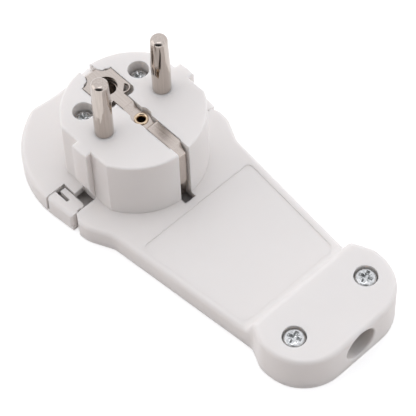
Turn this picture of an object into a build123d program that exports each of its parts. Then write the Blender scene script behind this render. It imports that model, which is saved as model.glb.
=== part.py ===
from build123d import *
import math
import os

# Flat type F mains plug with a broad grip handle. All sizes are in millimetres.
# The origin lies on the flat back, under the axis of the round nose.
# +X runs along the handle to the cord inlet, +Y along the row of pins, +Z along the pins.

# Contact pins
pin_r = 2.4
pin_reach = 19.0
pin_pitch = 19.0
pin_straight = 10.0
pin_tip_r = 2.12
pin_tip_round = 1.1
pin_root_r = 2.9
pin_root_sink = 0.6
pin_neck_r = 2.1
pin_neck_rise = 0.15
pin_foot_r = 1.9
pin_foot = 5.0

# Round nose that enters the socket
pin_inset = 8.55
nose_rise = 18.6
flat_deep = 1.9
nose_round = 0.5
lug_half = 2.45
lug_foot = 5.2
contact_slot = 3.4
contact_slot_deep = 2.85
face_web = 6.6
carrier_wall = 3.65
carrier_gap = 0.15

# Housing heights and walls
plate_top = 6.0
block_top = 11.6
lid = 1.2
wall = 2.0
plate_skin = 2.0
block_skin = 1.8
top_round = 1.2
back_round = 0.4
seam_bevel = 0.2

# Housing plan: disc with a finger lip, shoulders, tapering handle and block
disc_x = -6.2
disc_margin = 7.05
lip_scoop = 2.5
lip_long = 10.3
lip_corner_y = 9.3
lip_corner_round = 1.6
lip_thick = 3.0
body_corner_round = 2.5
shoulder_run = 14.1
shoulder_draw = 1.1
shoulder_round = 6.0
waist_x = 14.3
waist_half = 20.95
waist_round = 6.0
neck_x = 58.3
neck_half = 16.7
neck_round = 3.5
cheek_x = 63.4
cheek_round = 5.5
block_half = 19.1
block_round = 12.0
tail_x = 77.8

# Ramp between the handle and the raised block
ramp_foot_x = 55.9
ramp_head_x = 58.2
ramp_foot_round = 2.6
ramp_head_round = 2.0

# Blank label panel on the handle
panel_x0 = 21.6
panel_x1 = 53.9
panel_margin = 2.2
panel_round = 1.5
panel_deep = 0.15

# Side notches of the housing for the lid's snap ears, each with a window beside it
notch_x0 = -6.1
notch_x1 = 2.8
notch_in = 2.95
window_x0 = -2.0
window_gap = 0.05
relief_long = 2.0
relief_deep = 1.2

# Snap ears: an inner bar, a slot, a bridge and a rounded outer arm
ear_gap = 0.35
ear_bar = 1.55
ear_slot = 1.2
ear_bar_x = -5.3
ear_bridge_x = -1.4
ear_end_gap = 0.55
arm_gap = 0.15
ear_bar_top = 5.4
ear_bar_round = 1.2
ear_arm_round = 0.9
ear_crest_round = 1.1

# Earth strap, bent from one strip
strap_thick = 0.7
strap_half = 1.65
strap_sink = 0.1
strap_drop = 1.4
strap_bend = 0.6
strap_step_x = -2.0
strap_step_long = 1.3
strap_rise_x = 6.0
strap_rise_long = 0.7
strap_crease_in = 3.4
strap_gap = 0.25
strap_bend_room = 0.5

# Side contacts at both ends of the strap
contact_half = 1.25
contact_taper = 1.3
contact_in = 1.3
contact_drop = 2.4
contact_bend_z = 11.0
contact_foot_z = 5.0
contact_tuck = 0.75
contact_mouth = 2.75
back_in = 1.55
back_bend = 1.1
back_drop = 12.0

# Broad head of the strap, with a lobe and a curved slit at each front corner
strap_head_x0 = -13.3
strap_head_x1 = -4.95
strap_head_half = 4.55
strap_head_neck = 0.35
strap_lobe_r = 1.65
strap_hole_r = 2.9
strap_slit_r = 1.25
strap_slit_flat = 0.05
strap_slit_turn = 41.0
scallop_r = 2.9
scallop_x = -16.2
scallop_y = 4.45

# Pocket in the nose below the strap's head
head_pocket_x0 = -14.2
head_pocket_x1 = -3.95
head_pocket_half = 4.2
head_pocket_round = 1.2
head_pocket_deep = 5.0
lobe_pocket_r = 1.9
lobe_pocket_shift = 0.85

# Sleeve for an earth pin
earth_x = -10.0
earth_bore_r = 2.5
earth_sleeve_r = 2.9
earth_sleeve_long = 12.0
earth_sleeve_drop = 0.6
earth_slit = 0.5
earth_slit_long = 4.8

# Eyelet and earth terminal
eyelet_x = 2.75
eyelet_r = 1.3
eyelet_hole_r = 0.95
eyelet_flange_r = 1.7
eyelet_flange = 0.4
eyelet_pad_r = 2.35
eyelet_short = 1.0

# Wire terminals
terminal_wide = 7.0
terminal_high = 10.0
terminal_gap = 0.2
terminal_bevel = 0.5
wire_hole_r = 1.5
wire_hole_rise = 2.6
terminal_screw_r = 1.25
terminal_head_r = 2.0
terminal_head = 1.8
drive_slot = 0.6
wire_way_half = 13.2

# Nose and block screws with their nuts
screw_r = 1.5
screw_gap = 0.15
nose_screw_inset = 9.95
nose_screw_shift = 0.4
nose_head_r = 2.5
nose_head = 1.8
nose_well_r = 2.72
nose_well = 2.7
nose_nut_wide = 5.0
nose_boss_r = 3.3
block_screw_x = 67.5
block_screw_y = 11.95
block_head_r = 2.65
block_head = 1.9
block_well_r = 3.0
block_well = 0.75
block_nut_wide = 5.5
block_boss_r = 3.9
block_sleeve_r = 4.2
sleeve_seat = 0.5
head_round = 0.7
cross_long = 3.0
cross_wide = 0.7
cross_deep = 1.1
cross_taper = 12.0
nut_high = 2.4
screw_end_z = 2.2
screw_room = 0.4

# Cord inlet and clamp
inlet_r = 4.55
inlet_z = 6.35
inlet_wall = 4.0
inlet_round = 0.45
clamp_z = 5.0
clamp_thick = 1.6
clamp_bore_r = 3.6
clamp_arch = 1.2
clamp_wide = 7.0
clamp_reach = 15.2

# Nose cover inside the housing, and the rim and ring on the lid
cover_lap = 1.3
cover = 1.2
cover_mouth_x = 9.0
cover_mouth_half = 8.0
ring_r = 6.2
ring_wall = 1.0
rim_gap = 0.2
rim_wall = 1.0
rim_high = 1.4
rim_break = 1.0

# Places that follow from the sizes above
pin_y = pin_pitch / 2
nose_r = pin_y + pin_inset
nose_z = plate_top + nose_rise
disc_r = nose_r + disc_margin
nose_screw_x = nose_screw_inset - nose_r
nose_screw_y = pin_y - nose_screw_shift
nose_flat = nose_r - flat_deep
slot_floor = nose_r - contact_slot_deep
carrier_r = nose_r - carrier_wall
cover_r = carrier_r + cover_lap
skin_z = plate_top - plate_skin
cavity_z = block_top - block_skin
lip_end_x = disc_x - disc_r + lip_scoop
body_end_x = disc_x - disc_r + lip_long
shoulder_x = disc_x + shoulder_run
shoulder_half = disc_r - shoulder_draw
notch_y = nose_flat + notch_in
window_y = nose_flat + window_gap
strap_z = nose_z - strap_sink - strap_thick / 2
strap_low_z = strap_z - strap_drop
strap_run_x = nose_r - contact_in
strap_crease_x = nose_r - strap_crease_in
strap_back_x = back_in - nose_r
slit_x = strap_head_x1 - strap_lobe_r
slit_y = strap_head_half - strap_lobe_r
sleeve_top = strap_z - strap_thick / 2 - earth_sleeve_drop
terminal_top = nose_z - face_web
terminal_base = terminal_top - terminal_high
far = 60.0
tiny = 0.01
steep = 0.9


def both_sides():
    """Name and sign of each side."""
    return (("left", 1), ("right", -1))


def block(x0, x1, y0, y1, z0, z1):
    """Box between two corners."""
    size = Box(x1 - x0, y1 - y0, z1 - z0)
    return Pos((x0 + x1) / 2, (y0 + y1) / 2, (z0 + z1) / 2) * size


def post(x, y, z0, z1, r):
    """Upright cylinder."""
    return Pos(x, y, (z0 + z1) / 2) * Cylinder(r, z1 - z0)


def area(x0, x1, y0, y1):
    """Flat rectangle between two corners."""
    return Pos((x0 + x1) / 2, (y0 + y1) / 2) * Rectangle(x1 - x0, y1 - y0)


def past(x0, x1):
    """Broad plan strip between two places along the handle."""
    return area(x0, x1, -far, far)


def rod(x0, x1, z, r):
    """Cylinder that lies along the handle."""
    return Pos((x0 + x1) / 2, 0, z) * Rot(0, 90, 0) * Cylinder(r, x1 - x0)


def outline():
    """Plan of the whole moulding, closed and smooth but for the lip's two corners."""
    reach = math.hypot(shoulder_x - disc_x, shoulder_half)
    lean = math.atan2(shoulder_half, shoulder_x - disc_x) + math.acos(disc_r / reach)
    corner = math.pi - math.asin(lip_corner_y / disc_r)

    def on_disc(angle):
        return (disc_x + disc_r * math.cos(angle), disc_r * math.sin(angle))

    side = [
        on_disc(lean),
        (shoulder_x, shoulder_half),
        (waist_x, waist_half),
        (neck_x, neck_half),
        (cheek_x, block_half),
        (tail_x, block_half),
    ]
    radii = [shoulder_round, waist_round, neck_round, cheek_round, block_round]
    other = [(x, -y) for x, y in reversed(side)]
    rim = FilletPolyline(*side, *other, radius=radii + radii[::-1])
    upper = ThreePointArc(on_disc(corner), on_disc((corner + lean) / 2), on_disc(lean))
    lower = ThreePointArc(on_disc(-corner), on_disc(-(corner + lean) / 2), on_disc(-lean))
    scoop = ThreePointArc(on_disc(corner), (lip_end_x, 0), on_disc(-corner))
    face = make_face(rim.edges() + upper.edges() + lower.edges() + scoop.edges())
    return fillet(face.vertices().sort_by(Axis.X)[:2], lip_corner_round)


def under_top():
    """Solid below the top surface of plate, ramp and block."""
    start = (-far, plate_top)
    turns = ((ramp_foot_x, plate_top), (ramp_head_x, block_top))
    ends = ((2 * far, block_top), (2 * far, -far), (-far, -far))
    line = FilletPolyline(start, *turns, *ends, radius=[ramp_foot_round, ramp_head_round, 0, 0])
    face = make_face(line.edges() + Line(ends[-1], start).edges())
    return extrude(Plane.XZ * face, amount=far, both=True)


def body_plan():
    """Plan of the thick body, which ends short of the finger lip."""
    plan = outline() & past(body_end_x, 2 * far)
    return fillet(plan.vertices().sort_by(Axis.X)[:2], body_corner_round)


def shrunk(inset):
    """Body plan drawn in all round."""
    return offset(body_plan(), -inset, kind=Kind.INTERSECTION)


def front_shell():
    """Outer form of the front moulding, with its cavity still solid."""
    form = extrude(outline(), amount=block_top) & under_top()
    rim = [
        e for e in form.edges()
        if e.center().Z > lid
        and not (e.geom_type == GeomType.LINE and abs(e.tangent_at(0).Z) > steep)
        and not (e.geom_type == GeomType.LINE and abs(e.tangent_at(0).Y) > steep)
    ]
    form = fillet(rim, top_round)
    under_lip = past(-far, body_end_x + body_corner_round) - body_plan()
    form -= extrude(under_lip, amount=plate_top - lip_thick)
    return form - block(-far, 2 * far, -far, far, -far, lid)


def cavity():
    """Hollow of the front moulding, open to the back, higher under the block."""
    inner = shrunk(wall)
    tail = tail_x - inlet_wall
    low = extrude(inner & past(-far, tail), amount=skin_z)
    return low + extrude(inner & past(ramp_head_x + wall, tail), amount=cavity_z)


def panel():
    """Shallow blank panel that follows the handle's taper."""
    slope = (waist_half - neck_half) / (neck_x - waist_x)
    half0 = waist_half - slope * (panel_x0 - waist_x) - panel_margin
    half1 = waist_half - slope * (panel_x1 - waist_x) - panel_margin
    shape = Polygon((panel_x0, half0), (panel_x0, -half0), (panel_x1, -half1), (panel_x1, half1), align=None)
    shape = fillet(shape.vertices(), panel_round)
    return Pos(0, 0, plate_top - panel_deep) * extrude(shape, amount=wall)


def front_housing():
    """Front moulding: disc, finger lip, nose, handle and raised block in one shell."""
    shell = front_shell() + nose_form() - cavity() - panel() - strap_recess()
    shell -= post(0, 0, 0, terminal_top, carrier_r + carrier_gap)
    half = contact_slot / 2
    shell -= block(slot_floor, strap_run_x + contact_mouth, -half, half, 0, far)
    shell -= block(-far, -slot_floor, -half, half, plate_top, far)
    shell -= post(earth_x, 0, 0, nose_z, earth_sleeve_r)
    shell -= post(eyelet_x, 0, 0, far, eyelet_r)
    for _, side in both_sides():
        shell -= side_notch(side) + relief(side)
        y = side * pin_y
        shell -= post(0, y, 0, nose_z - pin_root_sink, pin_root_r)
        shell -= post(0, y, 0, far, pin_neck_r)
        y = side * nose_screw_y
        shell -= post(nose_screw_x, y, nose_z - nose_well - nose_head, far, nose_well_r)
        shell -= post(nose_screw_x, y, 0, far, screw_r + screw_gap)
        shell -= post(nose_screw_x, y, 0, plate_top, nose_boss_r + screw_gap)
        y = side * block_screw_y
        shell += post(block_screw_x, y, clamp_z + clamp_thick, cavity_z + sleeve_seat, block_sleeve_r)
        shell -= post(block_screw_x, y, block_top - block_well - block_head, far, block_well_r)
        shell -= post(block_screw_x, y, 0, far, screw_r + screw_gap)
    return shell - cord_hole()


def cord_hole():
    """Round cord hole through the tail wall, with a rounded mouth."""
    hole = rod(tail_x - inlet_wall, tail_x + wall, inlet_z, inlet_r)
    start = tail_x - inlet_round
    mouth = rod(start, tail_x, inlet_z, inlet_r + inlet_round)
    tube = Torus(inlet_r + inlet_round, inlet_round)
    return hole + (mouth - Pos(start, 0, inlet_z) * Rot(0, 90, 0) * tube)


def side_notch(side):
    """Notch for a snap ear, and the window beside the nose lug."""
    near, out = sorted((side * notch_y, side * far))
    notch = block(notch_x0, notch_x1, near, out, -far, far)
    near, out = sorted((side * window_y, side * far))
    return notch + block(window_x0, notch_x1, near, out, -far, plate_top)


def relief(side):
    """Slanting break of the outline beside an ear."""
    y0 = shoulder_half - relief_deep
    corner = (notch_x1 + 2 * relief_long, side * (y0 + 2 * relief_deep))
    shape = Polygon((notch_x1, side * y0), corner, (notch_x1, corner[1]), align=None)
    return Pos(0, 0, -far) * extrude(shape, amount=2 * far, dir=(0, 0, 1))


def ear_plan(side):
    """U-shaped ear, open towards the lip, clipped to the housing's outline."""
    bar_y = notch_y + ear_gap
    slot_y = bar_y + ear_bar
    arm_y = slot_y + ear_slot
    bar_end = notch_x1 - ear_end_gap
    bar = area(ear_bar_x, bar_end, bar_y, arm_y) - area(ear_bar_x, ear_bridge_x, slot_y, arm_y)
    bar = fillet(bar.vertices().group_by(Axis.X)[-1].sort_by(Axis.Y)[0], ear_bar_round)
    ends = (notch_x0 + ear_gap, notch_x1 - arm_gap)
    arm = area(*ends, arm_y, far) & outline()
    corners = [v for v in arm.vertices() if v.Y > arm_y + tiny and min(abs(v.X - x) for x in ends) < tiny]
    shape = bar + fillet(corners, ear_arm_round)
    return shape if side > 0 else mirror(shape, Plane.XZ)


def snap_ear(side):
    """Latch arm that rises from the lid through the housing's side notch."""
    arm = Pos(0, 0, lid / 2) * extrude(ear_plan(side), amount=plate_top)
    rounded = extrude(outline(), amount=plate_top)
    arm &= fillet(rounded.edges().group_by(Axis.Z)[-1], ear_crest_round)
    near, out = sorted((0, side * (notch_y + ear_gap + ear_bar)))
    return arm - block(-far, far, near, out, ear_bar_top, far)


def nut_pocket(x, y, z, wide):
    """Six-sided prism with the given width across flats."""
    shape = RegularPolygon(wide / 2, 6, major_radius=False)
    return Pos(x, y, z) * extrude(shape, amount=nut_high)


def lid_boss(x, y, top, r, nut_wide):
    """Screw boss with a nut pocket in its top."""
    boss = post(x, y, lid / 2, top, r)
    boss -= nut_pocket(x, y, top - nut_high, nut_wide)
    return boss - post(x, y, screw_end_z - screw_room, top, screw_r + screw_gap)


def back_plate():
    """Lid that closes the back, with bosses, inner rim, nose ring and snap ears."""
    plan = body_plan()
    plate = extrude(plan, amount=lid)
    plate = fillet(plate.edges().group_by(Axis.Z)[0], back_round)
    plate = chamfer(plate.faces().sort_by(Axis.Z)[-1].outer_wire().edges(), seam_bevel)
    band = shrunk(wall + rim_gap) - shrunk(wall + rim_gap + rim_wall)
    rim = extrude(band, amount=lid + rim_high)
    rim -= block(tail_x - inlet_wall - 2 * rim_wall, 2 * far, -far, far, 0, far)
    for _, side in both_sides():
        near, out = sorted((side * (window_y - rim_break), side * far))
        rim -= block(notch_x0 - rim_break, notch_x1 + rim_break, near, out, -far, far)
    plate += rim - block(-far, 2 * far, -far, far, -far, lid / 2)
    plate += post(0, 0, lid / 2, skin_z - cover, ring_r) - post(0, 0, 0, far, ring_r - ring_wall)
    for _, side in both_sides():
        plate += snap_ear(side)
        nose_y = side * nose_screw_y
        plate += lid_boss(nose_screw_x, nose_y, plate_top, nose_boss_r, nose_nut_wide)
        block_y = side * block_screw_y
        plate += lid_boss(block_screw_x, block_y, clamp_z, block_boss_r, block_nut_wide)
        plate -= relief(side)
    return plate


def strap_plan(grow):
    """Flat plan of the earth strap, grown all round by a clearance."""
    half = strap_half + grow
    wide = strap_head_half + grow
    x1 = strap_head_x1 + grow
    neck = x1 - strap_head_neck
    strip = area(strap_back_x - strap_thick, strap_crease_x, -half, half)
    head = Polygon((strap_back_x, wide), (strap_back_x, -wide), (x1, -wide), (neck, -half),
                   (neck, half), (x1, wide), align=None)
    head = fillet(head.vertices().group_by(Axis.X)[-1], strap_lobe_r + grow)
    for _, side in both_sides():
        head -= Pos(scallop_x, side * scallop_y) * Circle(scallop_r - grow)
        head -= area(-far, strap_head_x0 - grow, *sorted((side * wide, side * scallop_y)))
    end = strap_run_x + strap_thick
    narrow = contact_half + grow
    start = strap_crease_x + contact_taper
    front = Polygon((strap_crease_x, half), (strap_crease_x, -half), (start, -narrow), (end, -narrow),
                    (end, narrow), (start, narrow), align=None)
    return strip + head + front + Pos(eyelet_x, 0) * Circle(eyelet_pad_r + grow)


def strap_line():
    """Side view of the bent strip, along its middle."""
    raised = strap_z - strap_sink
    return FilletPolyline(
        (strap_back_x, strap_z - back_drop),
        (strap_back_x, strap_z - back_bend),
        (strap_back_x + back_bend, strap_z),
        (strap_step_x, strap_z),
        (strap_step_x + strap_step_long, strap_low_z),
        (strap_rise_x, strap_low_z),
        (strap_rise_x + strap_rise_long, raised),
        (strap_crease_x, raised),
        (strap_run_x, strap_z - contact_drop),
        (strap_run_x, contact_bend_z),
        (strap_run_x - contact_tuck, contact_foot_z),
        radius=strap_bend,
    )


def earth_strap():
    """Nickel strip with a broad head, a recessed eyelet pad and both side contacts."""
    section = trace(strap_line().edges(), strap_thick)
    strip = extrude(Plane.XZ * section, amount=far, both=True)
    plan = strap_plan(0)
    plan -= Pos(earth_x, 0) * Circle(strap_hole_r)
    plan -= Pos(eyelet_x, 0) * Circle(eyelet_r)
    slit = Circle(strap_slit_r) & area(-strap_slit_flat, strap_slit_r, -strap_slit_r, strap_slit_r)
    for _, side in both_sides():
        plan -= Pos(slit_x, side * slit_y) * Rot(0, 0, side * strap_slit_turn) * slit
    return strip & extrude(plan, amount=2 * nose_z)


def strap_recess():
    """Channel in the nose face that the strap lies in, and the pocket below its head."""
    plan = strap_plan(strap_gap)
    recess = Pos(0, 0, strap_z - strap_thick / 2 - strap_sink) * extrude(plan, amount=head_pocket_deep)
    low = past(strap_step_x - strap_bend_room, strap_rise_x + strap_rise_long + strap_bend_room) & plan
    recess += Pos(0, 0, strap_low_z - strap_thick / 2) * extrude(low, amount=head_pocket_deep)
    hollow = area(head_pocket_x0, head_pocket_x1, -head_pocket_half, head_pocket_half)
    hollow = fillet(hollow.vertices(), head_pocket_round)
    for _, side in both_sides():
        hollow += Pos(slit_x + lobe_pocket_shift, side * slit_y) * Circle(lobe_pocket_r)
    recess += Pos(0, 0, nose_z - head_pocket_deep) * extrude(hollow, amount=2 * head_pocket_deep)
    half = contact_slot / 2
    turn_z = strap_z - contact_drop - strap_thick
    ends = block(strap_crease_x - strap_thick, far, -half, half, turn_z, far)
    return recess + ends + block(-far, strap_back_x + back_bend + strap_thick, -half, half, turn_z, far)


def nose_form():
    """Outer form of the nose with its flats and side lugs."""
    plan = Circle(nose_r) & Rectangle(2 * far, 2 * nose_flat)
    form = Pos(0, 0, plate_top) * extrude(plan, amount=nose_rise)
    form = fillet(form.edges().group_by(Axis.Z)[-1], nose_round)
    lug_plan = Circle(nose_r) & Rectangle(2 * lug_half, 2 * far)
    lug = Pos(0, 0, plate_top) * extrude(lug_plan, amount=nose_rise)
    lug = fillet(lug.edges().group_by(Axis.Z)[-1], nose_round)
    foot_top = plate_top + lug_foot
    foot = Polygon((nose_flat, plate_top), (far, plate_top), (far, foot_top), (nose_r, foot_top), align=None)
    cut = extrude(Plane.YZ * foot, amount=2 * lug_half, both=True)
    lug -= cut + mirror(cut, Plane.XZ)
    return form + lug


def contact_carrier():
    """Round insulating block inside the nose, with pockets for terminals and wires."""
    carrier = post(0, 0, skin_z, terminal_top, carrier_r)
    room = terminal_wide / 2 + terminal_gap
    for _, side in both_sides():
        y = side * pin_y
        carrier -= block(-room, room, y - room, y + room, 0, far)
        y = side * nose_screw_y
        carrier -= post(nose_screw_x, y, 0, far, screw_r + screw_gap)
        carrier -= post(nose_screw_x, y, 0, plate_top, nose_boss_r + screw_gap)
    carrier -= post(earth_x, 0, sleeve_top - earth_sleeve_long, far, earth_sleeve_r)
    carrier -= block(eyelet_x - room, eyelet_x + room, -room, room, 0, far)
    return carrier - block(-room, far, -wire_way_half, wire_way_half, 0, terminal_base - terminal_gap)


def nose_cover():
    """Thin disc that shuts the terminal pockets, open towards the handle for the wires."""
    disc = post(0, 0, skin_z - cover, skin_z, cover_r)
    disc -= block(cover_mouth_x, far, -cover_mouth_half, cover_mouth_half, 0, far)
    for _, side in both_sides():
        disc -= post(nose_screw_x, side * nose_screw_y, 0, far, nose_boss_r + screw_gap)
    return disc


def pin(side):
    """Round contact pin with a slight taper and a domed end, a groove at the nose face and a thicker root."""
    top = nose_z + pin_reach
    root_top = nose_z - pin_root_sink
    neck_top = nose_z + pin_neck_rise
    half = Polyline(
        (0, terminal_top - pin_foot), (pin_foot_r, terminal_top - pin_foot), (pin_foot_r, terminal_top),
        (pin_root_r, terminal_top), (pin_root_r, root_top), (pin_neck_r, root_top),
        (pin_neck_r, neck_top), (pin_r, neck_top),
        (pin_r, nose_z + pin_straight), (pin_tip_r, top), (0, top), close=True,
    )
    face = make_face(half.edges())
    tip = face.vertices().group_by(Axis.Y)[-1].sort_by(Axis.X)[-1]
    face = fillet(tip, pin_tip_round)
    return Pos(0, side * pin_y, 0) * revolve(Plane.XZ * face, Axis.Z)


def terminal(x, y, core_r):
    """Brass block with a cross hole for the wire and a screw hole from below."""
    half = terminal_wide / 2
    body = block(x - half, x + half, y - half, y + half, terminal_base, terminal_top)
    body = chamfer(body.edges().filter_by(Axis.Z), terminal_bevel)
    body -= Pos(x, y, terminal_base + wire_hole_rise) * Rot(0, 90, 0) * Cylinder(wire_hole_r, 2 * terminal_wide)
    body -= post(x, y, terminal_top - pin_foot, far, core_r)
    return body - post(x, y, 0, terminal_base + wire_hole_rise, terminal_screw_r)


def terminal_screw(x, y):
    """Slotted screw that presses the wire from below."""
    screw = post(x, y, terminal_base, terminal_base + wire_hole_rise, terminal_screw_r)
    head = post(x, y, terminal_base - terminal_head, terminal_base, terminal_head_r)
    slot = block(x - far, x + far, y - drive_slot / 2, y + drive_slot / 2, 0, terminal_base - terminal_head / 2)
    return screw + (head - slot)


def earth_socket():
    """Slotted sleeve under the strap's round hole."""
    base = sleeve_top - earth_sleeve_long
    sleeve = post(earth_x, 0, base, sleeve_top, earth_sleeve_r)
    sleeve -= post(earth_x, 0, 0, far, earth_bore_r)
    half = earth_slit / 2
    sleeve -= block(-far, far, -half, half, base, base + earth_slit_long)
    return sleeve - block(earth_x - half, earth_x + half, -far, far, base, base + earth_slit_long)


def earth_eyelet():
    """Rolled brass eyelet through strap, nose and earth terminal."""
    rest = strap_low_z + strap_thick / 2
    tube = post(eyelet_x, 0, terminal_top - pin_foot + eyelet_short, rest + eyelet_flange, eyelet_r)
    flange = post(eyelet_x, 0, rest, rest + eyelet_flange, eyelet_flange_r)
    flange = fillet(flange.edges().group_by(Axis.Z)[-1], eyelet_flange / 2)
    return tube + flange - post(eyelet_x, 0, 0, far, eyelet_hole_r)


def cross_recess(x, y, z):
    """Tapered cross cut into a screw head."""
    cross = Rectangle(cross_long, cross_wide) + Rectangle(cross_wide, cross_long)
    return Pos(x, y, z) * extrude(cross, amount=-cross_deep, taper=cross_taper)


def pan_screw(x, y, seat, head_r, head_high):
    """Screw with a rounded head and a cross recess."""
    head = post(x, y, seat, seat + head_high, head_r)
    head = fillet(head.edges().group_by(Axis.Z)[-1], head_round)
    head -= cross_recess(x, y, seat + head_high)
    return head + post(x, y, screw_end_z, seat, screw_r)


def nut(x, y, top, wide):
    """Six-sided nut in its lid boss."""
    return nut_pocket(x, y, top - nut_high, wide) - post(x, y, 0, far, screw_r)


def cord_clamp():
    """Saddle that arches over the cord, held by both block screws."""
    strip = block(-clamp_wide / 2, clamp_wide / 2, -clamp_reach, clamp_reach, clamp_z, clamp_z + clamp_thick)
    tube = Pos(0, 0, clamp_z) * Rot(0, 90, 0) * Cylinder(clamp_bore_r + clamp_arch, clamp_wide)
    saddle = strip + (tube & block(-far, far, -far, far, clamp_z, far))
    saddle -= Pos(0, 0, clamp_z) * Rot(0, 90, 0) * Cylinder(clamp_bore_r, 2 * clamp_wide)
    saddle = Pos(block_screw_x, 0, 0) * saddle
    for _, side in both_sides():
        saddle -= post(block_screw_x, side * block_screw_y, 0, far, screw_r + screw_gap)
    return saddle


def pieces():
    """Every separate piece of the plug by name."""
    found = {
        "front_housing": front_housing(),
        "back_plate": back_plate(),
        "contact_carrier": contact_carrier(),
        "nose_cover": nose_cover(),
        "earth_strap": earth_strap(),
        "earth_socket": earth_socket(),
        "earth_eyelet": earth_eyelet(),
        "earth_terminal": terminal(eyelet_x, 0, eyelet_r),
        "earth_terminal_screw": terminal_screw(eyelet_x, 0),
        "cord_clamp": cord_clamp(),
    }
    nose_seat = nose_z - nose_well - nose_head
    block_seat = block_top - block_well - block_head
    for name, side in both_sides():
        nose_y = side * nose_screw_y
        block_y = side * block_screw_y
        found[f"pin_{name}"] = pin(side)
        found[f"terminal_{name}"] = terminal(0, side * pin_y, pin_foot_r)
        found[f"terminal_screw_{name}"] = terminal_screw(0, side * pin_y)
        found[f"nose_screw_{name}"] = pan_screw(nose_screw_x, nose_y, nose_seat, nose_head_r, nose_head)
        found[f"nose_nut_{name}"] = nut(nose_screw_x, nose_y, plate_top, nose_nut_wide)
        found[f"block_screw_{name}"] = pan_screw(block_screw_x, block_y, block_seat, block_head_r, block_head)
        found[f"block_nut_{name}"] = nut(block_screw_x, block_y, clamp_z, block_nut_wide)
    return found


os.makedirs("parts", exist_ok=True)
for name, solid in pieces().items():
    export_step(solid, f"parts/{name}.step")
    print(name, round(solid.volume, 1))
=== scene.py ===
# %% [markdown]
# # A flat type F plug, dressed on its CAD frame
# The CAD model gives every rigid piece at its true size. This script adds what the eye needs:
# a camera that stands where the photograph was taken, soft studio light, finishes for white
# moulded plastic, nickel, brass and zinc, and the fine pieces that the CAD leaves plain.

# %% Load the frame
import math
import bpy
from mathutils import Matrix, Vector


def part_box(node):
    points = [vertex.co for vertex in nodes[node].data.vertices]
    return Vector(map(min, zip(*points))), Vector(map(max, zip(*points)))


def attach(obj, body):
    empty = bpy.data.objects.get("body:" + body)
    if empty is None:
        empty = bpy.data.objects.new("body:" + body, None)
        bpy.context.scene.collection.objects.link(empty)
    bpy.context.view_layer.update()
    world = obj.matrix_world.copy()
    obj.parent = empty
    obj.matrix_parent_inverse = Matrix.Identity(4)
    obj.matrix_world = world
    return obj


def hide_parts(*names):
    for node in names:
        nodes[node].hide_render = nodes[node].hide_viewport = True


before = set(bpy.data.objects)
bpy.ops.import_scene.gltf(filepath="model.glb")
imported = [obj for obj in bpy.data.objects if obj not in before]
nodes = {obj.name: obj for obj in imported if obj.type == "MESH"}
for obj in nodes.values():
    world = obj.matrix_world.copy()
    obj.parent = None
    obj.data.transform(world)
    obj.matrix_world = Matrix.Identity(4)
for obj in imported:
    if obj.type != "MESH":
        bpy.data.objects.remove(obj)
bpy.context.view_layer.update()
MM = 0.001

# %% [markdown]
# ## The camera
# A long lens looks at the plug from a good half metre away. Its turn, height and roll were
# worked out from the pins and the edges of the plug, so lines fall on the same pixels as in the
# photograph. It could be turned by three angles of its own. Here its right, up and back vectors
# are worked out and put side by side in a matrix, because that leaves no doubt about the order.

# %% Camera
picture_px = 416
focal_px = 2164.9
sensor_mm = 36
camera_far = 531.2 * MM
camera_aim = Vector((24.31, 1.29, 6.0)) * MM
camera_turn_deg, camera_height_deg, camera_roll_deg = 48.41, 55.52, -2.44


def direction(turn_deg, height_deg):
    """Unit vector away from the plug, turned from -Y towards +X, then raised."""
    turned, raised = math.radians(turn_deg), math.radians(height_deg)
    return Vector((
        math.sin(turned) * math.cos(raised),
        -math.cos(turned) * math.cos(raised),
        math.sin(raised),
    ))


def aim_camera():
    """Camera that looks at its aim point, rolled about its line of sight."""
    back = direction(camera_turn_deg, camera_height_deg)
    level = direction(camera_turn_deg + 90, 0)
    rise = back.cross(level)
    roll = math.radians(camera_roll_deg)
    right = math.cos(roll) * level + math.sin(roll) * rise
    up = math.cos(roll) * rise - math.sin(roll) * level
    data = bpy.data.cameras.new("camera")
    data.sensor_width = sensor_mm
    data.lens = focal_px / picture_px * sensor_mm
    camera = bpy.data.objects.new("camera", data)
    bpy.context.scene.collection.objects.link(camera)
    facing = Matrix((right, up, back)).transposed().to_4x4()
    camera.matrix_world = Matrix.Translation(camera_aim + back * camera_far) @ facing
    bpy.context.scene.camera = camera
    return camera


camera = aim_camera()
print("lens", round(camera.data.lens, 1), "mm")

# %% [markdown]
# ## Colour
# Colours are written as sRGB hex, as a designer picks them. The renderer adds up light, so it
# needs linear values, and one function turns the hex code into them.

# %% Colour


def linear(code):
    """Linear colour with full opacity, from sRGB hex."""
    shares = [int(code[i:i + 2], 16) / 255 for i in (1, 3, 5)]
    return [*(s / 12.92 if s <= 0.04045 else ((s + 0.055) / 1.055) ** 2.4 for s in shares), 1.0]


print("middle grey in linear light:", round(linear("#808080")[0], 3))

# %% [markdown]
# ## Nodes
# A material is a small network of nodes. It could be wired one line at a time. One function is
# shorter to read: it adds a node of any kind, sets its options, fills its sockets and links its
# inputs. A Mix node has several sockets of the same name, so its colours go by number.

# %% Nodes and finishes
MIX_LOW, MIX_HIGH, MIX_RESULT = 6, 7, 2


def fill(node, values):
    """Set a node's sockets, by name or number."""
    for socket, value in values.items():
        node.inputs[socket].default_value = value


def add_node(tree, kind, links=None, values=None, **options):
    """Node with its options set, its sockets filled and its inputs linked."""
    node = tree.nodes.new(kind)
    for option, value in options.items():
        setattr(node, option, value)
    fill(node, values or {})
    for socket, source in (links or {}).items():
        tree.links.new(source, node.inputs[socket])
    return node


def new_material(name):
    """Material, its node tree and the shader that comes with it."""
    material = bpy.data.materials.new(name)
    material.use_nodes = True
    return material, material.node_tree, material.node_tree.nodes["Principled BSDF"]


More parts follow.
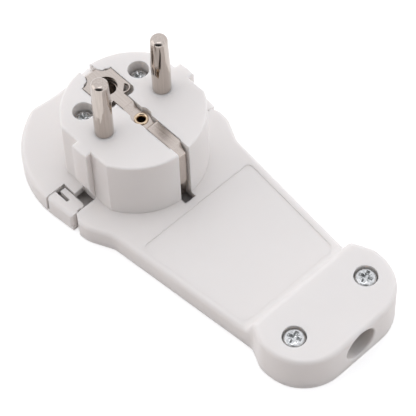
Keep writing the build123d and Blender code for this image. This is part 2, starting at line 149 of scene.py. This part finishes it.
def wear(names, material):
    """Give some CAD nodes one finish all over."""
    for name in names:
        data = nodes[name].data
        data.materials.clear()
        data.materials.append(material)
    print(material.name, "on", len(names), "nodes")


print("nodes to finish:", len(nodes))

# %% [markdown]
# ## White plastic
# The shells are ABS, moulded in a spark-eroded tool that leaves a fine satin. The pieces inside
# are nylon in its natural cream. One flat colour would do for a paint, but large faces would
# look empty, so faint clouds of colour and a grain break the light up. A real spark-eroded grain
# is a few hundredths of a millimetre wide, and is drawn about ten times coarser here, so that it
# shows. Light also enters such plastic and comes out again almost two millimetres away, red a
# little further than blue. Subsurface scattering gives that: grooves look paler and edges softer.

# %% White plastic
cloud_mm, cloud_detail = 9, 3
plastic_ior = 1.5
glow_share = 0.65
glow_mm = 1.7
glow_rgb = (1.0, 0.97, 0.93)
grain_strength, grain_detail = 0.3, 2


def satin_plastic(name, colour, deep, roughness, grain_mm, grain_deep_mm):
    """Moulded plastic with faint clouds of colour, light in its depth and a fine grain."""
    material, tree, shader = new_material(name)
    place = add_node(tree, "ShaderNodeTexCoord").outputs["Object"]
    cloud = add_node(tree, "ShaderNodeTexNoise", {"Vector": place},
                     {"Scale": 1 / (cloud_mm * MM), "Detail": cloud_detail})
    tint = add_node(tree, "ShaderNodeMix", {"Factor": cloud.outputs["Fac"]},
                    {MIX_LOW: linear(deep), MIX_HIGH: linear(colour)}, data_type="RGBA")
    tree.links.new(tint.outputs[MIX_RESULT], shader.inputs["Base Color"])
    fill(shader, {"Roughness": roughness, "IOR": plastic_ior})
    fill(shader, {"Subsurface Weight": glow_share, "Subsurface Radius": glow_rgb,
                  "Subsurface Scale": glow_mm * MM})
    grain = add_node(tree, "ShaderNodeTexNoise", {"Vector": place},
                     {"Scale": 1 / (grain_mm * MM), "Detail": grain_detail})
    bump = add_node(tree, "ShaderNodeBump", {"Height": grain.outputs["Fac"]},
                    {"Strength": grain_strength, "Distance": grain_deep_mm * MM})
    tree.links.new(bump.outputs["Normal"], shader.inputs["Normal"])
    return material


# Satin ABS: a soft warm white with a broad, weak sheen.
housing_white = satin_plastic("moulded_abs_satin_white", colour="#EBE7E4", deep="#E8E4E1",
                              roughness=0.45, grain_mm=0.35, grain_deep_mm=0.012)
# Natural nylon: creamier and a little duller, so the inner pieces stand apart in their openings.
inner_white = satin_plastic("moulded_nylon_natural", colour="#E8DFD4", deep="#E2D8CC",
                            roughness=0.5, grain_mm=0.5, grain_deep_mm=0.01)
wear(("front_housing", "back_plate"), housing_white)
wear(("contact_carrier", "nose_cover", "cord_clamp"), inner_white)

# %% [markdown]
# ## Nickel, brass and zinc
# The pins are drawn rod and the strap is stamped strip, both of brass under bright nickel. The
# eyelet is bare brass, and the screws and nuts are steel with bright zinc. An even mirror would
# look like chrome, so each metal has the pattern that its making leaves: fine lines along the
# pins and the strap, an even cloud on the brass, and dull and bright patches on the tumbled zinc.
# Real drawn lines are a few hundredths of a millimetre wide, and are drawn about ten times
# coarser here, so that they show.

# %% Metals
along_x, along_z = 0, 2
line_long = 40
line_relief, line_detail = 0.25, 3
bright_share, dull_share = 0.7, 1.35


def plated_metal(name, colour, dull, roughness, line_mm, line_deep_mm, line_axis=None):
    """Metal with fine lines along one axis, or with even patches where none is given."""
    material, tree, shader = new_material(name)
    place = add_node(tree, "ShaderNodeTexCoord").outputs["Object"]
    scale = [1 / (line_mm * MM)] * 3
    if line_axis is not None:
        scale[line_axis] /= line_long
    drawn = add_node(tree, "ShaderNodeMapping", {"Vector": place}, {"Scale": scale})
    lines = add_node(tree, "ShaderNodeTexNoise", {"Vector": drawn.outputs["Vector"]},
                     {"Scale": 1, "Detail": line_detail})
    tint = add_node(tree, "ShaderNodeMix", {"Factor": lines.outputs["Fac"]},
                    {MIX_LOW: linear(dull), MIX_HIGH: linear(colour)}, data_type="RGBA")
    tree.links.new(tint.outputs[MIX_RESULT], shader.inputs["Base Color"])
    fill(shader, {"Metallic": 1})
    spread = add_node(tree, "ShaderNodeMapRange", {"Value": lines.outputs["Fac"]},
                      {"To Min": roughness * bright_share, "To Max": roughness * dull_share})
    tree.links.new(spread.outputs["Result"], shader.inputs["Roughness"])
    bump = add_node(tree, "ShaderNodeBump", {"Height": lines.outputs["Fac"]},
                    {"Strength": line_relief, "Distance": line_deep_mm * MM})
    tree.links.new(bump.outputs["Normal"], shader.inputs["Normal"])
    return material


# Nickel on drawn rod: a warm grey mirror, whose lines break reflections into long streaks.
pin_nickel = plated_metal("drawn_brass_nickel_plated", colour="#D0C6BE", dull="#AAA098",
                          roughness=0.075, line_mm=0.3, line_axis=along_z, line_deep_mm=0.006)
# Nickel on stamped strip: rougher, so it shows the room as soft bands.
strip_nickel = plated_metal("stamped_strip_nickel_plated", colour="#CEC4BC", dull="#B4AAA2",
                            roughness=0.19, line_mm=0.35, line_axis=along_x, line_deep_mm=0.006)
# Bare brass, rolled over: a pale gold with soft highlights.
bare_brass = plated_metal("rolled_brass_bare", colour="#EBD7BE", dull="#D0BA9C",
                          roughness=0.2, line_mm=0.3, line_deep_mm=0.01)
# Bright zinc on tumbled steel: hard white glints beside grey patches, from shallow dents.
bright_zinc = plated_metal("steel_bright_zinc", colour="#F4F4F4", dull="#949797",
                           roughness=0.08, line_mm=0.8, line_deep_mm=0.4)
wear(("pin_left", "pin_right"), pin_nickel)
wear(("earth_strap", "earth_socket"), strip_nickel)
wear(("earth_eyelet", "earth_terminal", "terminal_left", "terminal_right"), bare_brass)
wear([name for name in nodes if "screw" in name or "nut" in name], bright_zinc)

# %% [markdown]
# ## Selecting
# Modelling operators act on all that is selected, and loading the frame leaves its pieces
# selected. So every step starts with nothing selected, and corners are then picked by a test of
# their place. Edit mode has to drop its old selection first, or whole faces stay selected.

# %% Selecting


def select_only(piece=None):
    """Leave edit mode, drop the old selection and select one piece, if it is given."""
    if bpy.context.object and bpy.context.object.mode != "OBJECT":
        bpy.ops.object.mode_set(mode="OBJECT")
    bpy.ops.object.select_all(action="DESELECT")
    if piece:
        piece.select_set(True)
        bpy.context.view_layer.objects.active = piece


def select_corners(piece, test):
    """Open a mesh for editing with just the corners selected that pass a test."""
    bpy.ops.object.mode_set(mode="EDIT")
    bpy.ops.mesh.select_all(action="DESELECT")
    bpy.ops.object.mode_set(mode="OBJECT")
    for corner in piece.data.vertices:
        corner.select = test(corner.co)
    bpy.ops.object.mode_set(mode="EDIT")


select_only()
print("selected:", len(bpy.context.selected_objects))

# %% [markdown]
# ## A tool for turned pieces
# Screws and eyelets are turned or rolled, so each is one profile swept round an axis. It could
# be spun from a line. Here a ring is extruded again and again and each new ring is resized,
# because the profile then reads as a plain list of radius and height in millimetres.

# %% Turning
turned_sides = 48
same_place_mm = 0.001


def turn(name, profile, closed_ring=False):
    """Turned piece on the Z axis through the origin, from a list of (radius, height)."""
    select_only()
    radius, height = profile[0]
    cap = "NOTHING" if closed_ring else "NGON"
    bpy.ops.mesh.primitive_circle_add(vertices=turned_sides, radius=radius * MM, fill_type=cap,
                                      location=(0, 0, height * MM))
    piece = bpy.context.object
    piece.name = name
    bpy.ops.object.transform_apply(location=True)
    bpy.ops.object.mode_set(mode="EDIT")
    bpy.ops.mesh.select_all(action="SELECT")
    for new_radius, new_height in profile[1:]:
        rise = (new_height - height) * MM
        bpy.ops.mesh.extrude_region_move(TRANSFORM_OT_translate={"value": (0, 0, rise)})
        share = new_radius / radius
        bpy.ops.transform.resize(value=(share, share, 1), center_override=(0, 0, 0))
        radius, height = new_radius, new_height
    bpy.ops.mesh.select_all(action="SELECT")
    bpy.ops.mesh.remove_doubles(threshold=same_place_mm * MM)
    bpy.ops.mesh.normals_make_consistent(inside=False)
    bpy.ops.object.mode_set(mode="OBJECT")
    return piece


print("turned pieces have", turned_sides, "sides")

# %% [markdown]
# ## Placing and finishing
# A finished piece keeps its object at the origin, as a CAD piece does, so its place is written
# into its mesh. It is then smoothed, except at edges sharper than an angle, and handed to the
# frame: it rides on the plug's one body and may stand for the plain CAD piece.

# %% Placing and finishing
sharp_edge_deg = 35


def put(piece, x, y, z=0.0):
    """Move a piece, in metres, and write the place into its mesh."""
    select_only(piece)
    piece.location = (x, y, z)
    bpy.ops.object.transform_apply(location=True)


def finish_piece(piece, material, node_name=None):
    """Smooth a piece, give it its finish and let it stand for a CAD node, if it has one."""
    select_only(piece)
    bpy.ops.object.shade_smooth_by_angle(angle=math.radians(sharp_edge_deg))
    piece.data.materials.clear()
    piece.data.materials.append(material)
    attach(piece, "root")
    if node_name:
        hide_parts(node_name)
    print(piece.name, "has", len(piece.data.polygons), "faces")


print("edges stay sharp above", sharp_edge_deg, "degrees")

# %% [markdown]
# ## Screws: the turned form
# Four screws with low rounded heads hold the plug together, and lie in wells of the plastic.
# The thread could be a helix, but the closed plug hides it, so plain ridges at the thread's
# pitch are enough. The head's dome is a short list of shares of its radius and its height.

# %% Screw profile
# In millimetres, as on a screw of 3 mm.
thread_r, thread_root_r = 1.5, 1.22
thread_pitch = 0.5
tip_r, tip_long = 0.9, 0.3
neck_long = 0.2
head_chamfer = 0.1
middle_r = 0.02
# Share of the head's radius, and share of its height below the top.
head_dome = ((1, 0.42), (0.975, 0.3), (0.91, 0.18), (0.78, 0.075), (0.55, 0.02), (0.2, 0))


def screw_profile(low, seat, top, head_r):
    """Tip, ridged shank and rounded head, as radius and height in millimetres."""
    profile = [(tip_r, low), (thread_root_r, low + tip_long)]
    height = low + tip_long
    while height + thread_pitch < seat - neck_long:
        profile += [(thread_r, height + thread_pitch / 2), (thread_root_r, height + thread_pitch)]
        height += thread_pitch
    profile += [(thread_root_r, seat), (head_r - head_chamfer, seat), (head_r, seat + head_chamfer)]
    profile += [(head_r * across, top - down * (top - seat)) for across, down in head_dome]
    return profile + [(middle_r, top)]


print("thread ridges are", thread_pitch, "mm apart")

# %% [markdown]
# ## Screws: the recess
# A punch presses the recess: a cross whose arms get narrower towards their foot, with four
# short shallow marks between them. It could be drawn as one outline and extruded. Cutting one
# tapered bar after another with Boolean modifiers needs no outline, and each bar is two arms or
# two marks. A narrow bevel then softens the edges, which are what catches the light.

# %% Screw recess
recess_long = 4.9
arm_wide, arm_deep = 1.3, 1.4
mark_wide, mark_deep = 0.28, 0.3
arm_turn_deg = 20
bar_foot_share = 0.5
soft_edge_mm, soft_edge_steps = 0.05, 2
soft_edge_deg = 40


def cutter_bar(wide, deep, top, turn_deg):
    """Bar across the head, narrower at its foot, which cuts two arms or two marks."""
    select_only()
    bpy.ops.mesh.primitive_cube_add(size=1, location=(0, 0, 0))
    bar = bpy.context.object
    bar.scale = (recess_long * MM, wide * MM, 2 * deep * MM)
    bar.rotation_euler = (0, 0, math.radians(turn_deg))
    bpy.ops.object.transform_apply(location=True, rotation=True, scale=True)
    select_corners(bar, lambda place: place.z < 0)
    bpy.ops.transform.resize(value=(bar_foot_share, bar_foot_share, 1), center_override=(0, 0, 0))
    bpy.ops.object.mode_set(mode="OBJECT")
    put(bar, 0, 0, top * MM)
    return bar


def cut_recess(screw, top):
    """Cut the cross, then its four marks, and soften the edges."""
    bars = [(arm_wide, arm_deep, arm_turn_deg + quarter) for quarter in (0, 90)]
    bars += [(mark_wide, mark_deep, arm_turn_deg + 45 + quarter) for quarter in (0, 90)]
    for wide, deep, turn_deg in bars:
        bar = cutter_bar(wide, deep, top, turn_deg)
        select_only(screw)
        cut = screw.modifiers.new("recess", "BOOLEAN")
        cut.operation = "DIFFERENCE"
        cut.solver = "EXACT"
        cut.object = bar
        bpy.ops.object.modifier_apply(modifier=cut.name)
        bpy.data.objects.remove(bar)
    soft = screw.modifiers.new("soft_edges", "BEVEL")
    soft.width = soft_edge_mm * MM
    soft.segments = soft_edge_steps
    soft.limit_method = "ANGLE"
    soft.angle_limit = math.radians(soft_edge_deg)
    bpy.ops.object.modifier_apply(modifier=soft.name)


print("recess", arm_deep, "mm deep, its marks", mark_deep, "mm")

# %% [markdown]
# ## Screws: all four
# The nose has one kind and the block another, whose head is a little taller and wider than the
# CAD gives it. Each kind is modelled once, from the box of its CAD piece, and copied with a mesh
# of its own for the other side, because the two sides are the same screw.

# %% Screws


def make_screws(kind, head_high, taller=0.0, wider=1.0):
    """Model one screw of a kind and copy it, so that there is one on each side."""
    low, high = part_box(f"{kind}_screw_left")
    seat = high.z / MM - head_high
    top = high.z / MM + taller
    head_r = (high.x - low.x) / 2 / MM * wider
    model = turn(f"{kind}_screw_turned", screw_profile(low.z / MM, seat, top, head_r))
    cut_recess(model, top)
    twin = model.copy()
    twin.data = model.data.copy()
    bpy.context.scene.collection.objects.link(twin)
    for side, piece in (("left", twin), ("right", model)):
        node_low, node_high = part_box(f"{kind}_screw_{side}")
        centre = (node_low + node_high) / 2
        piece.name = f"{kind}_screw_{side}_cross_head"
        put(piece, centre.x, centre.y)
        finish_piece(piece, bright_zinc, f"{kind}_screw_{side}")


make_screws("nose", head_high=1.8)
make_screws("block", head_high=1.9, taller=0.55, wider=1.05)

# %% [markdown]
# ## Eyelet
# A brass tube is pushed through the strap and rolled over, so its rim is a round lip with a
# funnel inside. A flat washer would look punched, so the lip is turned from its own profile.

# %% Eyelet
tube_r, bore_r = 1.3, 0.95
lip_high = 0.4
# Radius, and depth below the top: the lip from its outer foot to its crest, then the funnel.
lip_curve = ((1.7, 0.4), (1.8, 0.3), (1.8, 0.2), (1.72, 0.09), (1.58, 0.01), (1.43, 0))
funnel_curve = ((1.3, 0.07), (1.12, 0.25), (1.0, 0.6), (0.95, 1.0))


def make_eyelet():
    """Rolled eyelet, as one closed ring round the bore."""
    low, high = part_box("earth_eyelet")
    base, top = low.z / MM, high.z / MM
    profile = [(tube_r, base), (tube_r, top - lip_high)]
    profile += [(radius, top - deep) for radius, deep in lip_curve + funnel_curve]
    profile += [(bore_r, base), (tube_r, base)]
    piece = turn("earth_eyelet_rolled", profile, closed_ring=True)
    centre = (low + high) / 2
    put(piece, centre.x, centre.y)
    finish_piece(piece, bare_brass, "earth_eyelet")


make_eyelet()

# %% [markdown]
# ## Rim of the label panel
# The blank panel on the handle is framed by a hairline that stands a fortieth of a millimetre
# proud. It could be a groove cut into the housing, but a flat ring is a piece of its own that
# leaves the CAD mesh alone: a plane, narrowed towards the block, with rounded corners, an inset
# whose middle is removed, and a little thickness. It is the housing's plastic without the light
# in its depth, because scattering in so thin a skin would turn the line too dark.

# %% Panel rim
# In millimetres: where the rim starts and ends along the handle, and its half widths there.
rim_x0, rim_x1 = 21.28, 54.22
rim_half_wide, rim_half_narrow = 18.38, 15.2
rim_round, rim_round_steps = 1.8, 8
rim_wide = 0.2
rim_low, rim_high = 5.9, 6.025
rim_white = housing_white.copy()
rim_white.name = "moulded_abs_satin_white_rim"
fill(rim_white.node_tree.nodes["Principled BSDF"], {"Subsurface Weight": 0})


def make_panel_rim():
    """Thin flat ring round the panel, sunk into the housing but for its top."""
    select_only()
    bpy.ops.mesh.primitive_plane_add(size=2, location=(0, 0, 0))
    rim = bpy.context.object
    rim.name = "label_panel_rim"
    rim.scale = ((rim_x1 - rim_x0) / 2 * MM, rim_half_wide * MM, 1)
    bpy.ops.object.transform_apply(scale=True)
    select_corners(rim, lambda place: place.x > 0)
    share = rim_half_narrow / rim_half_wide
    bpy.ops.transform.resize(value=(1, share, 1), center_override=(0, 0, 0))
    bpy.ops.mesh.select_all(action="SELECT")
    bpy.ops.mesh.bevel(offset=rim_round * MM, segments=rim_round_steps, affect="VERTICES")
    bpy.ops.mesh.select_all(action="SELECT")
    bpy.ops.mesh.inset(thickness=rim_wide * MM)
    bpy.ops.mesh.delete(type="FACE")
    put(rim, (rim_x0 + rim_x1) / 2 * MM, 0, rim_high * MM)
    thick = rim.modifiers.new("thick", "SOLIDIFY")
    thick.thickness = (rim_high - rim_low) * MM
    bpy.ops.object.modifier_apply(modifier=thick.name)
    finish_piece(rim, rim_white)


make_panel_rim()

# %% [markdown]
# ## Floor
# The plug lies on a white sweep. A plain white plane would come out grey, and more lamps would
# burn out the plug. So what the camera, the metals and any glass see of it is pale paper that
# also gives off light, which comes out white and keeps the soft shadow. Every other ray meets
# plain paper, whose warm white lights the plug's sides.

# %% Floor
floor_size = 3.0
floor_drop = 0.05 * MM
paper_roughness = 0.9
paper_glow = 0.62


def studio_floor():
    """Floor that is white to the eye and plain paper to the light."""
    select_only()
    bpy.ops.mesh.primitive_plane_add(size=floor_size, location=(0, 0, -floor_drop))
    floor = bpy.context.object
    floor.name = "floor"
    material, tree, shader = new_material("matt_paper_sweep")
    fill(shader, {"Base Color": linear("#E2DAD6"), "Roughness": paper_roughness})
    ray = add_node(tree, "ShaderNodeLightPath").outputs
    seen = add_node(tree, "ShaderNodeMath", {0: ray["Is Camera Ray"], 1: ray["Is Glossy Ray"]},
                    operation="MAXIMUM")
    seen = add_node(tree, "ShaderNodeMath", {0: seen.outputs[0], 1: ray["Is Transmission Ray"]},
                    operation="MAXIMUM")
    paper = add_node(tree, "ShaderNodeBsdfDiffuse", values={"Color": linear("#C8C8C8")})
    glow = add_node(tree, "ShaderNodeEmission",
                    values={"Color": linear("#FFFFFF"), "Strength": paper_glow})
    lit = add_node(tree, "ShaderNodeAddShader", {0: paper.outputs[0], 1: glow.outputs[0]})
    both = add_node(tree, "ShaderNodeMixShader",
                    {0: seen.outputs[0], 1: shader.outputs[0], 2: lit.outputs[0]})
    tree.links.new(both.outputs[0], tree.nodes["Material Output"].inputs["Surface"])
    floor.data.materials.append(material)
    print("floor", floor_size, "m wide")


studio_floor()

# %% [markdown]
# ## The light tent
# A white tent of light surrounds the plug, with one smooth dark opening on the side that the
# camera looks from. The opening darkens the walls that face the camera and gives the metals
# their dark bands, without which they would look like grey paint. A room could be modelled for
# it, but the world's background does the same with a few nodes: between the opening's edge and
# its core, the light fades smoothly to almost nothing.

# %% Light tent
tent_strength = 1.165
opening_middle = direction(38, 22)
opening_strength = 0.05
# Cosines of the angle from the opening's middle, at its outer edge and where it is darkest.
opening_edge, opening_core = 0.53, 0.9


def studio_tent():
    """World that is bright all round but for its opening."""
    world = bpy.data.worlds.new("studio")
    bpy.context.scene.world = world
    world.use_nodes = True
    tree = world.node_tree
    tree.nodes.clear()
    way = add_node(tree, "ShaderNodeTexCoord").outputs["Generated"]
    near = add_node(tree, "ShaderNodeVectorMath", {0: way}, {1: opening_middle},
                    operation="DOT_PRODUCT")
    level = add_node(tree, "ShaderNodeMapRange", {"Value": near.outputs["Value"]},
                     {"From Min": opening_edge, "From Max": opening_core,
                      "To Min": tent_strength, "To Max": opening_strength},
                     interpolation_type="SMOOTHSTEP")
    tent = add_node(tree, "ShaderNodeBackground", {"Strength": level.outputs["Result"]},
                    {"Color": linear("#F9FAFE")})
    add_node(tree, "ShaderNodeOutputWorld", {0: tent.outputs[0]})


studio_tent()
edge_deg, core_deg = (round(math.degrees(math.acos(c))) for c in (opening_edge, opening_core))
print("tent darkens from", edge_deg, "to", core_deg, "degrees off its opening's middle")

# %% [markdown]
# ## Soft boxes
# The tent alone is too even. A cool soft box overhead lifts the flat tops and the pins' ends,
# and a wide warm one from the left models the walls. Both are weak, so pale plastic never burns
# out, and the Standard view shows colours about as they are written.

# %% Soft boxes
lamp_aim = Vector((0.02, 0, 0))


def soft_box(name, place, wide, power, tint):
    """Square lamp that looks at the plug; sizes are in metres and power in watts."""
    data = bpy.data.lights.new(name, "AREA")
    data.shape = "SQUARE"
    data.size = wide
    data.energy = power
    data.color = linear(tint)[:3]
    lamp = bpy.data.objects.new(name, data)
    bpy.context.scene.collection.objects.link(lamp)
    lamp.location = place
    lamp.rotation_mode = "QUATERNION"
    lamp.rotation_quaternion = (lamp_aim - Vector(place)).to_track_quat("-Z", "Y")
    print(name, power, "W")


soft_box("overhead", (-0.05, 0.05, 0.8), wide=0.28, power=0.3, tint="#FAFBFF")
soft_box("left_fill", (-0.35, -0.45, 0.3), wide=0.6, power=0.55, tint="#FFF8F5")
bpy.context.scene.view_settings.view_transform = "Standard"
